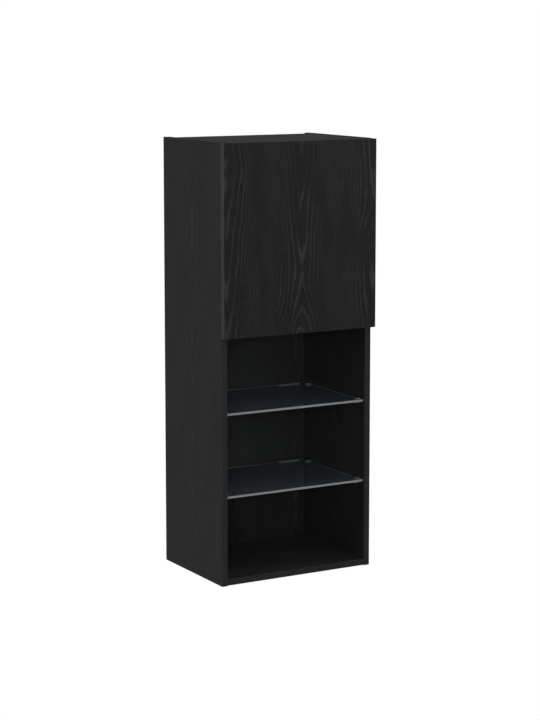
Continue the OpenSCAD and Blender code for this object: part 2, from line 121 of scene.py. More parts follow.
class CabinetBoards(bpy.types.PropertyGroup):
    """Black oak boards and their banded edges."""

    ease: length("Edge rounding", "Radius of the boards' long edges", 0.5 * MM)
    oak: colour("Oak", "Colour of the stained oak between its grain lines", (0.0125, 0.0125, 0.0126))
    grain: colour("Grain", "Colour of the open grain lines", (0.052, 0.052, 0.052))
    band: colour("Edge band", "Colour of the banding on the carcass's edges", (0.028, 0.028, 0.028))
    # The door's band is lighter than the carcass's: partly its banding, partly a painted highlight of the
    # door's lit edges.
    door_band_and_highlight: colour("Door edge band", "Colour of the banding on the door's edges", (0.047, 0.047, 0.047))
    grains: FloatVectorProperty(
        name="Grain strengths", description="How strongly the door, sides, panels and back panel show grain",
        size=4, default=(1.5, 2.3, 2.4, 1.0),
    )
    # These tones are painted light and shade: one oak made lighter or darker on the door, sides, panels and
    # back panel so that each part matches how lit it looks. The back panel is darkened as painted shade
    # inside the bays, and the panels are lightened as painted light on the bays' floors.
    painted_light_tones: FloatVectorProperty(
        name="Tones", description="How light the door, sides, panels and back panel are", size=4,
        default=(0.91, 0.56, 0.95, 0.67),
    )
    pitch: length("Arch pitch", "Distance between two columns of arches across the grain", 195 * MM)
    arch: length("Arch length", "Length along the grain in which a column of arches repeats", 640 * MM)
    lag: length("Arch lag", "How much further along each column's arches lie than its neighbour's", 183 * MM)
    heart: length("Heart width", "Distance across the grain between a column's middle lines", 18 * MM)
    flank: length("Flank width", "Distance from a column's middle where its lines draw close", 48 * MM)


class CabinetGlass(bpy.types.PropertyGroup):
    """Glass shelves and what holds them."""

    arris: length("Arris", "Radius of the glass's ground edges", 0.6 * MM)
    tint: colour("Tint", "Colour seen through the glass", (0.74, 0.9, 1.0))
    edge: colour("Ground edge", "Colour of the ground edges", (0.45, 0.465, 0.47))
    clamp_ease: length("Clamp rounding", "Radius of the clamps' edges", 0.4 * MM)
    zinc: colour("Zinc", "Colour of the satin plated clamps", (0.56, 0.58, 0.6))


class CabinetFittings(bpy.types.PropertyGroup):
    """Hinges, lights and small plastic parts."""

    ease: length("Edge rounding", "Radius of pressed and moulded edges", 0.2 * MM)
    nickel: colour("Nickel", "Colour of the nickel-plated steel", (0.66, 0.655, 0.64))
    housing: colour("Light housing", "Colour of the clip-on lights' plastic", (0.1, 0.108, 0.104))
    lens: colour("Lens", "Colour of the unlit opal lens", (0.8, 0.81, 0.79))
    birch: colour("Birch", "Colour of the dowels", (0.58, 0.43, 0.26))


class CabinetStudio(bpy.types.PropertyGroup):
    """Camera, floor and light."""

    eye: FloatVectorProperty(
        name="Camera place", description="Where the camera stands", default=(-2.368, -4.270, 0.305),
        subtype="TRANSLATION", unit="LENGTH",
    )
    turn: FloatProperty(
        name="Camera turn", description="Turn of the camera from facing the wall",
        default=math.radians(29.92), subtype="ANGLE",
    )
    dip: FloatProperty(
        name="Camera dip", description="Slope of the camera below level",
        default=math.radians(7.59), subtype="ANGLE",
    )
    lens: FloatProperty(
        name="Lens", description="Focal length in millimetres on a 36 mm sensor", default=101.52
    )
    drop: FloatProperty(
        name="Lens drop", description="Downward shift of the picture, as a share of its height",
        default=0.0833,
    )
    floor_gap: length("Floor gap", "Height of the cabinet above the floor", 4.0)
    level: FloatProperty(name="Light", description="Even light from all sides", default=0.02)
    above: FloatProperty(name="Light above", description="Light that grows towards straight up", default=0.49)
    beside: FloatProperty(name="Light beside", description="Light that grows towards the left", default=0.5)
    ahead: FloatProperty(name="Light ahead", description="Light that grows towards the front", default=0.03)
    below: FloatProperty(
        name="Light below", description="Light that grows towards straight down", default=0.12
    )
    lamp: FloatProperty(
        name="Lamp", description="Power of the soft lamp at the camera, in watts", default=60.0
    )
    side_lamp: FloatProperty(
        name="Side lamp", description="Power of the soft lamp to the right, in watts", default=18.0
    )
    side_place: FloatVectorProperty(
        name="Side lamp place", description="Where the soft lamp to the right stands",
        default=(3.0, -1.2, 0.2), subtype="TRANSLATION", unit="LENGTH",
    )
    lamp_size: length("Lamp size", "Width of each soft lamp", 0.8)


# ---- Shader expressions ----


class Value:
    """A node's output socket. Arithmetic on it adds Math nodes."""

    def __init__(self, nodes, socket):
        self.nodes = nodes
        self.socket = socket

    def out(self, index):
        """Another output of the same node."""
        return Value(self.nodes, self.socket.node.outputs[index])

    def __add__(self, other):
        return self.nodes.maths("ADD", self, other)

    def __sub__(self, other):
        return self.nodes.maths("SUBTRACT", self, other)

    def __rsub__(self, other):
        return self.nodes.maths("SUBTRACT", other, self)

    def __mul__(self, other):
        return self.nodes.maths("MULTIPLY", self, other)

    def __truediv__(self, other):
        return self.nodes.maths("DIVIDE", self, other)

    __radd__ = __add__
    __rmul__ = __mul__


class Nodes:
    """A node tree with short calls for the nodes that the finishes are made of."""

    def __init__(self, tree):
        self.tree = tree
        tree.nodes.clear()

    def add(self, kind, settings=None, sockets=None, output=0):
        """Adds a node: its settings are set first, then each socket gets its value or link."""
        node = self.tree.nodes.new(kind)
        for key, value in (settings or {}).items():
            setattr(node, key, value)
        for key, value in (sockets or {}).items():
            if isinstance(value, Value):
                self.tree.links.new(value.socket, node.inputs[key])
            else:
                node.inputs[key].default_value = value
        return Value(self, node.outputs[output] if node.outputs else None)

    def maths(self, operation, *terms):
        """A Math node."""
        return self.add("ShaderNodeMath", {"operation": operation}, dict(enumerate(terms)))

    def step(self, value, start, end):
        """Rises smoothly from 0 at start to 1 at end."""
        return self.add(
            "ShaderNodeMapRange", {"interpolation_type": "SMOOTHSTEP"}, {0: value, 1: start, 2: end}
        )

    def blend(self, factor, first, second):
        """A colour between two colours."""
        settings = {"data_type": "RGBA", "clamp_factor": True}
        return self.add("ShaderNodeMix", settings, {0: factor, 6: opaque(first), 7: opaque(second)}, 2)

    def noise(self, place, scales, detail=2.0):
        """Soft noise from 0 to 1 whose grains are 1 / scale long on each axis of place."""
        stretched = self.add(
            "ShaderNodeVectorMath", {"operation": "MULTIPLY"}, {0: place, 1: scales}
        )
        return self.add(
            "ShaderNodeTexNoise", {"noise_dimensions": "3D"},
            {"Vector": stretched, "Scale": 1.0, "Detail": detail},
        )

    def bump(self, height, depth, strength=1.0):
        """A normal that follows a height from 0 to 1, depth metres deep."""
        return self.add("ShaderNodeBump", None, {"Height": height, "Distance": depth, "Strength": strength})

    def surface(self, sockets):
        """The finished surface: a Principled shader with these sockets, joined to the output."""
        shader = self.add("ShaderNodeBsdfPrincipled", None, sockets)
        self.add("ShaderNodeOutputMaterial", None, {"Surface": shader})

    def object_place(self):
        """The point's place on the piece, in metres."""
        return self.add("ShaderNodeTexCoord", output=3)


def opaque(value):
    """A plain colour with its alpha, or the link it already is."""
    return value if isinstance(value, Value) else (*value, 1.0)


# ---- Finishes ----

# The oak's grain: how far its lines wander across, how round the middle of an arch is, how far the
# arches swing and ripple, in rings, how wide a line is, in rings, and how deep the pores are.
WANDER = 40 * MM
HEART_ROUNDING = 5 * MM
SWING = 1.5
RIPPLE, RIPPLE_SHIFT = 1.3, 0.41
LINE_WIDTH = 0.2
PORE_DEPTH = 0.12 * MM


def oak(nodes, strength, tone, banding):
    """Black stained oak: rings of F(u, v) = |u| / heart + |u / flank|^3 + swing, where u is measured
    across the grain from the middle of the nearest column of arches. The swing, 1.5 sin(t + sin(t) / 2)
    with t once round per arch length, dies out between the columns, so pointed arches form in each
    column and straight lines between them. A thin lighter line, broken by pores, lies wherever F
    passes a whole number."""
    settings = bpy.context.scene.cabinet_boards
    # tone makes this one oak lighter or darker on each part: painted light and shade.
    base, grain = ([tone * part for part in colours] for colours in (settings.oak, settings.grain))
    place = nodes.add("ShaderNodeUVMap", {"uv_map": "grain"})
    wander = (nodes.noise(place, (9.0, 3.6, 1.0), 3.0) - 0.5) * WANDER
    axes = nodes.add("ShaderNodeSeparateXYZ", None, {0: place})
    across = axes + wander
    column = nodes.maths("ROUND", across / settings.pitch)
    off = nodes.maths("ABSOLUTE", across - column * settings.pitch)
    near = nodes.maths("POWER", off * off + HEART_ROUNDING ** 2, 0.5) / settings.heart
    far = off / settings.flank
    calm = 1 - nodes.step(off, settings.pitch * 0.22, settings.pitch * 0.5)
    along = axes.out(1) - column * settings.lag
    turn = along * (2 * math.pi / settings.arch)
    swing = nodes.maths("SINE", turn + nodes.maths("SINE", turn) * 0.5) * SWING
    ripple = nodes.noise(place, (26.0, 9.0, 1.0), 4.0) * RIPPLE - RIPPLE_SHIFT
    rings = near + far * far * far + swing * calm + ripple
    line = 1 - nodes.step(nodes.maths("PINGPONG", rings, 0.5), 0.0, LINE_WIDTH)
    fade = nodes.step(nodes.noise(place, (30.0, 7.0, 1.0)), 0.36, 0.6)
    pores = nodes.step(nodes.noise(place, (1500.0, 42.0, 1.0), 3.0), 0.5, 0.66)
    cloud = nodes.noise(place, (16.0, 3.0, 1.0))
    open_grain = line * (fade * 0.8 + 0.2) * (pores * 0.55 + 0.45)
    shade = (open_grain + pores * 0.2 + cloud * 0.14) * strength
    band = nodes.add("ShaderNodeAttribute", {"attribute_name": "band"}, output=2)
    face = nodes.blend(shade, base, grain)
    nodes.surface({
        # The band colour is the edges' banding; on the door it also holds a painted highlight of the edges.
        "Base Color": nodes.blend(band, face, banding),
        "Roughness": open_grain * 0.35 + 0.44 - pores * 0.06,
        "IOR": 1.45,
        "Normal": nodes.bump(1 - pores * 0.6 - open_grain * 0.4, PORE_DEPTH, 0.5),
    })


def door_oak(nodes):
    """The door's oak, whose grain shows most, at its own tone: painted light and shade set to how lit the
    door looks. Its edge band holds a painted highlight as well as the banding.
    """
    boards = bpy.context.scene.cabinet_boards
    oak(nodes, boards.grains[0], boards.painted_light_tones[0], boards.door_band_and_highlight)


def side_oak(nodes):
    """The side panels' oak, at its own tone: painted light and shade set to how lit the sides look."""
    boards = bpy.context.scene.cabinet_boards
    oak(nodes, boards.grains[1], boards.painted_light_tones[1], boards.band)


def panel_oak_painted_light(nodes):
    """The oak of the top, middle and bottom panels and of the rail, at a lighter tone: painted light on the
    bays' floors.
    """
    boards = bpy.context.scene.cabinet_boards
    oak(nodes, boards.grains[2], boards.painted_light_tones[2], boards.band)


def back_oak_painted_shade(nodes):
    """The back panel's oak, at a darker tone: painted shade inside the bays."""
    boards = bpy.context.scene.cabinet_boards
    oak(nodes, boards.grains[3], boards.painted_light_tones[3], boards.band)


def clear_glass(nodes):
    """Float glass with the faintest unevenness in its polish."""
    smear = nodes.noise(nodes.object_place(), (9.0, 14.0, 9.0), 4.0)
    nodes.surface({
        "Base Color": opaque(bpy.context.scene.cabinet_glass.tint),
        "Roughness": smear * 0.03,
        "IOR": 1.52,
        "Transmission Weight": 0.96,
    })


def ground_glass(nodes):
    """The ground edges: fine wheel marks that scatter light."""
    place = nodes.object_place()
    marks = nodes.noise(place, (2600.0, 2600.0, 900.0), 2.0)
    tone = bpy.context.scene.cabinet_glass.edge
    dark, light = ([min(1.0, share * part) for part in tone] for share in (0.8, 1.25))
    nodes.surface({
        "Base Color": nodes.blend(marks, dark, light),
        "Roughness": marks * 0.2 + 0.3,
        "IOR": 1.52,
        "Transmission Weight": 0.25,
        "Normal": nodes.bump(marks, 0.02 * MM, 0.4),
    })


def plated(nodes, tone, roughness, spread, grain_scales, depth):
    """Plated metal: its shine varies with a soft stain, and a fine bump follows its surface marks."""
    place = nodes.object_place()
    stain = nodes.noise(place, (160.0, 160.0, 160.0), 3.0)
    marks = nodes.noise(place, grain_scales, 2.0)
    nodes.surface({
        "Base Color": nodes.blend(stain, [0.86 * part for part in tone], tone),
        "Metallic": 1.0,
        "Roughness": (stain + marks) * (spread / 2) + (roughness - spread / 2),
        "Normal": nodes.bump(marks, depth, 0.35),
    })


def cast_zinc(nodes):
    """Satin plated die-cast zinc."""
    plated(nodes, bpy.context.scene.cabinet_glass.zinc, 0.34, 0.14, (3200.0, 3200.0, 3200.0), 0.02 * MM)


def nickel_steel(nodes):
    """Bright nickel over pressed steel, with drawn marks along Y."""
    plated(nodes, bpy.context.scene.cabinet_fittings.nickel, 0.24, 0.12, (2600.0, 120.0, 2600.0), 0.01 * MM)


def moulded(nodes, tone, roughness, texture, extra=None):
    """Moulded plastic: a spark-eroded texture in the bump and a slight change of tone and shine."""
    place = nodes.object_place()
    speckle = nodes.noise(place, (texture, texture, texture), 2.0)
    drift = nodes.noise(place, (60.0, 60.0, 60.0), 2.0)
    nodes.surface({
        "Base Color": nodes.blend(drift, [0.85 * part for part in tone], tone),
        "Roughness": speckle * 0.14 + (roughness - 0.07),
        "Normal": nodes.bump(speckle, 0.015 * MM, 0.5),
        **(extra or {}),
    })


def grey_plastic(nodes):
    """The clip-on lights' housing."""
    moulded(nodes, bpy.context.scene.cabinet_fittings.housing, 0.4, 2400.0)


def black_plastic(nodes):
    """The cam caps."""
    moulded(nodes, (0.018, 0.018, 0.018), 0.45, 2400.0)


def clear_soft_plastic(nodes):
    """Clamp pads, light grips and door bumpers."""
    moulded(nodes, (0.62, 0.64, 0.64), 0.38, 1500.0, {"Transmission Weight": 0.55, "IOR": 1.45})


def opal_lens(nodes):
    """The lights' unlit lens."""
    extra = {"Subsurface Weight": 0.3, "Subsurface Scale": 0.002, "IOR": 1.5}
    moulded(nodes, bpy.context.scene.cabinet_fittings.lens, 0.3, 1800.0, extra)


def birch(nodes):
    """Bare birch, its fibres along X."""
    place = nodes.object_place()
    fibres = nodes.noise(place, (40.0, 1100.0, 1100.0), 3.0)
    tone = bpy.context.scene.cabinet_fittings.birch
    nodes.surface({
        "Base Color": nodes.blend(fibres, [0.72 * part for part in tone], tone),
        "Roughness": fibres * 0.2 + 0.55,
        "Normal": nodes.bump(fibres, 0.05 * MM, 0.5),
    })


FINISHES = {
    "door_oak": door_oak,
    "side_oak": side_oak,
    "panel_oak_painted_light": panel_oak_painted_light,
    "back_oak_painted_shade": back_oak_painted_shade,
    "clear_glass": clear_glass,
    "ground_glass": ground_glass,
    "cast_zinc": cast_zinc,
    "nickel_steel": nickel_steel,
    "grey_plastic": grey_plastic,
    "black_plastic": black_plastic,
    "clear_soft_plastic": clear_soft_plastic,
    "opal_lens": opal_lens,
    "birch": birch,
}


def finish(name):
    """The material of that name, made the first time it is asked for."""
    material = bpy.data.materials.get("finish_" + name)
    if material is None:
        material = bpy.data.materials.new("finish_" + name)
        material.use_nodes = True
        FINISHES[name](Nodes(material.node_tree))
    return material


# ---- Surfaces ----


def tube_faces(rows, columns):
    """Faces of a tube of rows by columns points: quads along and round it, and a cap on each end."""
    ring = np.arange(columns)
    turned_ring = np.roll(ring, -1)
    start = np.arange(rows - 1)[:, None] * columns
    quads = np.stack(
        [start + ring, start + turned_ring, start + columns + turned_ring, start + columns + ring], -1
    )
    caps = [ring[::-1].tolist(), ((rows - 1) * columns + ring).tolist()]
    return quads.reshape(-1, 4).tolist() + caps


def eased_block(low, high, ease, steps=3):
    """A box with rounded edges: the nearest corner of an inner box plus ease times the direction
    (cos p cos a, cos p sin a, sin p), with a once round and p from pole to pole."""
    low, high = np.array(low, float), np.array(high, float)
    inner = (high - low) / 2 - ease
    quarter = np.linspace(0, math.pi / 2, steps + 1)
    a = (np.arange(4)[:, None] * math.pi / 2 + quarter).ravel()
    p = np.concatenate([quarter - math.pi / 2, quarter])
    side_x = np.repeat([1, -1, -1, 1], steps + 1)
    side_y = np.repeat([1, 1, -1, -1], steps + 1)
    side_z = np.repeat([-1, 1], steps + 1)
    a, p = np.meshgrid(a, p)
    corner = np.stack([*np.broadcast_arrays(side_x, side_y, side_z[:, None])], -1)
    direction = np.stack([np.cos(p) * np.cos(a), np.cos(p) * np.sin(a), np.sin(p)], -1)
    points = (low + high) / 2 + corner * inner + ease * direction
    return points.reshape(-1, 3), tube_faces(*a.shape)


def rounded_outline(corners, radii, steps=4):
    """An anticlockwise outline whose corners are arcs. Each arc touches both sides at a distance
    radius / tan(half the corner's angle), and its spokes turn evenly from the first to the last."""
    corners = np.array(corners, float)
    radii = np.broadcast_to(np.array(radii, float), len(corners))[:, None]
    back = np.roll(corners, 1, 0) - corners
    ahead = np.roll(corners, -1, 0) - corners
    back /= np.linalg.norm(back, axis=1, keepdims=True)
    ahead /= np.linalg.norm(ahead, axis=1, keepdims=True)
    half = np.arccos((back * ahead).sum(1, keepdims=True)) / 2
    bisector = (back + ahead) / np.linalg.norm(back + ahead, axis=1, keepdims=True)
    centre = corners + bisector * radii / np.sin(half)
    first = corners + back * radii / np.tan(half) - centre
    last = corners + ahead * radii / np.tan(half) - centre
    sweep = (math.pi - 2 * half)[:, None]
    part = np.linspace(0, 1, steps + 1)[None, :, None]
    spokes = np.sin((1 - part) * sweep) * first[:, None] + np.sin(part * sweep) * last[:, None]
    return (centre[:, None] + spokes / np.sin(sweep)).reshape(-1, 2)


def carried(outline, near, far, ease, axis, steps=3):
    """An anticlockwise outline carried along an axis. At ease * (1 - cos t) from each end it is drawn
    in along its mitres by ease * (1 - sin t), so that the end edges are rounded."""
    before = outline - np.roll(outline, 1, 0)
    after = np.roll(outline, -1, 0) - outline
    before, after = (np.stack([d[:, 1], -d[:, 0]], -1) for d in (before, after))
    before /= np.linalg.norm(before, axis=1, keepdims=True)
    after /= np.linalg.norm(after, axis=1, keepdims=True)
    mitre = (before + after) / (1 + (before * after).sum(1, keepdims=True))
    t = np.linspace(0, math.pi / 2, steps + 1)
    inset = ease * (1 - np.sin(t))
    travel = ease * (1 - np.cos(t))
    inset = np.concatenate([inset, inset[::-1]])
    places = np.concatenate([near + travel, (far - travel)[::-1]])
    flat = outline - inset[:, None, None] * mitre
    points = np.insert(flat, axis, places[:, None], axis=-1)
    return points.reshape(-1, 3), tube_faces(*flat.shape[:2])


def turned(profile, centre, axis, sides=48):
    """A profile of (radius, height) points carried once round an axis through centre."""
    profile = np.array(profile, float)
    angle = np.arange(sides) * 2 * math.pi / sides
    flat = profile[:, :1, None] * np.stack([np.cos(angle), np.sin(angle)], -1)
    points = np.insert(flat, axis, profile[:, 1:], axis=-1) + np.array(centre)
    return points.reshape(-1, 3), tube_faces(len(profile), sides)


def arc(centre, radius, start, end, steps=6):
    """Points (x, y) of an arc, its angles in degrees."""
    angle = np.radians(np.linspace(start, end, steps + 1))
    return np.stack([centre[0] + radius * np.cos(angle), centre[1] + radius * np.sin(angle)], -1)


def joined(shells):
    """Several (points, faces) shells as one."""
    points, faces, count = [], [], 0
    for shell_points, shell_faces in shells:
        points.append(shell_points)
        faces += [[corner + count for corner in face] for face in shell_faces]
        count += len(shell_points)
    return np.concatenate(points), faces


# ---- Pieces ----


def tidy(mesh, flatten=False):
    """Merges doubled points, dissolves slivers and, if asked, flat seams, and turns faces outwards."""
    shape = bmesh.new()
    shape.from_mesh(mesh)
    bmesh.ops.remove_doubles(shape, verts=shape.verts, dist=MERGE)
    bmesh.ops.dissolve_degenerate(shape, edges=shape.edges, dist=MERGE)
    if flatten:
        bmesh.ops.dissolve_limit(shape, angle_limit=FLAT, verts=shape.verts, edges=shape.edges)
    bmesh.ops.recalc_face_normals(shape, faces=shape.faces)
    shape.to_mesh(mesh)
    shape.free()


def shade(piece):
    """Smooth shading that keeps real corners sharp and flat faces flat."""
    piece.data.shade_smooth()
    piece.data.set_sharp_from_angle(angle=SHARP)
    normals = piece.modifiers.new("flat faces", "WEIGHTED_NORMAL")
    normals.keep_sharp = True


def put(mesh, node, slot, *finishes):
    """Puts a finished mesh in the scene in place of a CAD node, on the node's own body."""
    piece = bpy.data.objects.new(mesh.name, mesh)
    bpy.context.scene.collection.objects.link(piece)
    for name in finishes or [slot]:
        mesh.materials.append(finish(name))
    shade(piece)
    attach(piece, frame["nodes"][node]["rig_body"])
    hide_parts(node)
    return piece


def new_piece(name, shell, node, slot, *finishes):
    """A piece from (points, faces) that stands for a CAD node."""
    points, faces = shell
    mesh = bpy.data.meshes.new(name)
    mesh.from_pydata(points.tolist(), [], faces)
    tidy(mesh)
    return put(mesh, node, slot, *finishes)


def merged_copy(name, node):
    """A copy of a CAD node's mesh as whole flat faces."""
    mesh = frame["nodes"][node].data.copy()
    mesh.name = name
    mesh.materials.clear()
    tidy(mesh, flatten=True)
    return mesh


def rounded_copy(name, node, slot, ease):
    """A copy of a CAD node with a small radius on every sharp edge."""
    piece = put(merged_copy(name, node), node, slot)
    bevel = piece.modifiers.new("rounded edges", "BEVEL")
    bevel.limit_method = "ANGLE"
    bevel.angle_limit = SHARP
    bevel.width = ease
    bevel.segments = 2
    piece.modifiers.move(len(piece.modifiers) - 1, 0)
    return piece


def dress(node, name):
    """Gives a CAD node that stays a finish."""
    for slot in frame["nodes"][node].material_slots:
        slot.material = finish(name)


# ---- Boards ----


def ease_outer_edges(mesh, ease):
    """Rounds the edges that lie along two faces of the mesh's own box, and leaves its bores sharp."""
    points = np.empty(len(mesh.vertices) * 3)
    mesh.vertices.foreach_get("co", points)
    points = points.reshape(-1, 3)
    ends = np.empty(len(mesh.edges) * 2, int)
    mesh.edges.foreach_get("vertices", ends)
    ends = ends.reshape(-1, 2)
    on_low = np.abs(points - points.min(0)) < MERGE * 10
    on_high = np.abs(points - points.max(0)) < MERGE * 10
    on_face = on_low[ends].all(1) | on_high[ends].all(1)
    outer = on_face.sum(1) == 2
    shape = bmesh.new()
    shape.from_mesh(mesh)
    shape.edges.ensure_lookup_table()
    bmesh.ops.bevel(
        shape, geom=[shape.edges[i] for i in np.flatnonzero(outer)], offset=ease, offset_type="OFFSET",
        segments=3, profile=0.5, affect="EDGES", clamp_overlap=False,
    )
    shape.to_mesh(mesh)
    shape.free()


def lay_grain(mesh, along, across, start):
    """Writes the grain's own coordinates, in metres, as a UV map: v runs along the grain and u across
    it, and both begin at start. An edge takes its grain along its own length, and is marked as
    banded."""
    thick = 3 - along - across
    points = np.empty(len(mesh.vertices) * 3)
    mesh.vertices.foreach_get("co", points)
    points = points.reshape(-1, 3)
    points -= points.min(0)
    corners = np.empty(len(mesh.loops), int)
    mesh.loops.foreach_get("vertex_index", corners)
    counts = np.empty(len(mesh.polygons), int)
    mesh.polygons.foreach_get("loop_total", counts)
    normals = np.empty(len(mesh.polygons) * 3)
    mesh.polygons.foreach_get("normal", normals)
    facing = np.abs(normals.reshape(-1, 3)).argmax(1)
    place = points[corners]
    ways = np.repeat(facing, counts)
    u = np.choose(np.select([ways == thick, ways == across], [0, 1], 2), [
        place[:, across], place[:, thick], place[:, thick],
    ])
    v = np.where(ways == along, place[:, across], place[:, along])
    layer = mesh.uv_layers.new(name="grain")
    layer.data.foreach_set("uv", np.stack([u + start[0], v + start[1]], -1).ravel())
    band = mesh.attributes.new("band", "FLOAT", "FACE")
    band.data.foreach_set("value", (facing != thick).astype(np.float32))


def board(node, along, across, start, ease, oak_finish):
    """A board: the CAD shape with its bores and rebate, its outer edges eased where ease is not zero,
    and its own stretch of grain."""
    mesh = merged_copy(node + "_board", node)
    if ease:
        ease_outer_edges(mesh, ease)
    lay_grain(mesh, along, across, start)
    return put(mesh, node, "black_oak_board", oak_finish)


class BuildSides(bpy.types.Operator):
    """The two side panels, their grain upright and one column of arches down their middle"""

    bl_idname = "cabinet.build_sides"
    bl_label = "Side Panels"

    def execute(self, context):
        settings = context.scene.cabinet_boards
        depth = SIDE_HIGH.y - SIDE_LOW.y
        for count, side in enumerate(SIDES):
            start = (settings.pitch * (1 + 2 * count) - depth / 2, 0.13 + 0.21 * count)
            board(side + "_side", Z, Y, start, settings.ease, "side_oak")
        return {"FINISHED"}


class BuildPanels(bpy.types.Operator):
    """The top, middle and bottom panels, their grain from side to side"""

    bl_idname = "cabinet.build_panels"
    bl_label = "Top, Middle and Bottom Panels"

    def execute(self, context):
        settings = context.scene.cabinet_boards
        for count, level in enumerate(("top", "middle", "bottom")):
            board(level + "_panel", X, Y, (0.06 + 0.17 * count, 0.4 * count), settings.ease, "panel_oak_painted_light")
        return {"FINISHED"}


class BuildBack(bpy.types.Operator):
    """The back panel in its rebates, with its nails, and the fixing rail in front of it"""

    bl_idname = "cabinet.build_back"
    bl_label = "Back Panel and Rail"

    def execute(self, context):
        settings = context.scene.cabinet_boards
        board("back_panel", Z, X, (-0.155, 0.21), 0, "back_oak_painted_shade")
        board("fixing_rail", X, Z, (0.1, 0.3), settings.ease, "panel_oak_painted_light")
        dress("back_nails", "nickel_steel")
        return {"FINISHED"}


class BuildDoor(bpy.types.Operator):
    """The door, with a column of arches down its middle and one near each edge"""

    bl_idname = "cabinet.build_door"
    bl_label = "Door"

    def execute(self, context):
        settings = context.scene.cabinet_boards
        width = DOOR_HIGH.x - DOOR_LOW.x
        board("door", Z, X, (settings.pitch - width / 2, 0.146), 0, "door_oak")
        return {"FINISHED"}


class BuildBumpers(bpy.types.Operator):
    """The soft domed pads that the door closes on"""

    bl_idname = "cabinet.build_bumpers"
    bl_label = "Door Bumpers"

    def execute(self, context):
        low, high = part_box("door_bumpers")
        radius = (high.x - low.x) / 2
        thickness = high.y - low.y
        crown = thickness * 0.55
        dome = arc((0, 0), 1, 90, 0, 8) * (radius, crown)
        profile = [(0, 0), (radius, 0), *((r, thickness - crown + h) for r, h in dome[::-1])]
        middle = (low.x + high.x) / 2
        shells = [turned(profile, (middle, low.y, z), Y, 32) for z in (low.z + radius, high.z - radius)]
        new_piece("door_bumper_pads", joined(shells), "door_bumpers", "clear_soft_plastic")
        return {"FINISHED"}


# ---- Glass shelves ----


class BuildShelves(bpy.types.Operator):
    """The two glass shelves: clear faces and ground edges"""

    bl_idname = "cabinet.build_shelves"
    bl_label = "Glass Shelves"

    def execute(self, context):
        settings = context.scene.cabinet_glass
        for level in LEVELS:
            node = level + "_glass_shelf"
            shell = eased_block(*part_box(node), settings.arris)
            piece = new_piece(node + "_pane", shell, node, "clear_glass", "clear_glass", "ground_glass")
            mesh = piece.data
            normals = np.empty(len(mesh.polygons) * 3)
            mesh.polygons.foreach_get("normal", normals)
            is_edge = np.abs(normals.reshape(-1, 3)[:, Z]) < 0.99
            mesh.polygons.foreach_set("material_index", is_edge.astype(int))
        return {"FINISHED"}


CLAMP_REACH = 12 * MM
CLAMP_PEG_R = 2 * MM
CLAMP_PEG_DROP = 2.9 * MM
CLAMP_BACK = 1.4 * MM
PAD_REACH = 9.5 * MM
PAD_RUN = 9 * MM
PAD_T = 0.6 * MM
SOFT_EASE = 0.15 * MM


def clamp_shell(low, high, glass_low, glass_high, side, ease):
    """A clamp: its side outline, a C round the glass with a rounded nose, carried along its length,
    and the peg that goes into the side panel, a turned profile."""
    down, up = low.z - glass_low.z, high.z - glass_low.z
    glass_t = glass_high.z - glass_low.z
    corners = [
        (0, down), (CLAMP_REACH, down), (CLAMP_REACH, -PAD_T), (CLAMP_BACK, -PAD_T),
        (CLAMP_BACK, glass_t + PAD_T), (CLAMP_REACH, glass_t + PAD_T), (CLAMP_REACH, up), (0, up),
    ]
    radii = np.array([0.6, 1.2, 0.5, 0.3, 0.3, 0.3, 1.1, 0.8]) * MM
    outline = rounded_outline(corners, radii, 5)
    body, body_faces = carried(outline, low.y, high.y, ease, Y)
    peg_length = high.x - low.x - CLAMP_REACH
    tip = 0.5 * MM
    profile = [
        (0, -peg_length), (CLAMP_PEG_R - tip, -peg_length), (CLAMP_PEG_R, -peg_length + tip),
        (CLAMP_PEG_R, ease), (0, ease),
    ]
    peg, peg_faces = turned(profile, (0, (low.y + high.y) / 2, -CLAMP_PEG_DROP), X, 24)
    points, faces = joined([(body, body_faces), (peg, peg_faces)])
    inwards = 1 if side == "left" else -1
    wall = low.x + peg_length if side == "left" else high.x - peg_length
    return points * (inwards, 1, 1) + (wall, 0, glass_low.z), faces


class BuildClamps(bpy.types.Operator):
    """The eight clamps that hold the glass, with a peg each in the side panel"""

    bl_idname = "cabinet.build_clamps"
    bl_label = "Shelf Clamps"

    def execute(self, context):
        settings = context.scene.cabinet_glass
        for level in LEVELS:
            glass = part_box(level + "_glass_shelf")
            for side in SIDES:
                for place in ("front", "rear"):
                    node = f"{level}_{side}_{place}_clamp"
                    shell = clamp_shell(*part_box(node), *glass, side, settings.clamp_ease)
                    new_piece(node + "_body", shell, node, "cast_zinc")
            dress(level + "_clamp_screws", "nickel_steel")
        return {"FINISHED"}


class BuildPads(bpy.types.Operator):
    """The soft pads between the clamps and the glass"""

    bl_idname = "cabinet.build_pads"
    bl_label = "Clamp Pads"

    def execute(self, context):
        for level in LEVELS:
            node = level + "_clamp_pads"
            low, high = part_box(node)
            ys = [low.y, high.y - PAD_RUN]
            xs = [low.x, high.x - PAD_REACH]
            zs = [low.z, high.z - PAD_T]
            shells = [
                eased_block((x, y, z), (x + PAD_REACH, y + PAD_RUN, z + PAD_T), SOFT_EASE, 2)
                for x in xs for y in ys for z in zs
            ]
            new_piece(node + "_soft", joined(shells), node, "clear_soft_plastic")
        return {"FINISHED"}


# ---- Clip-on lights ----


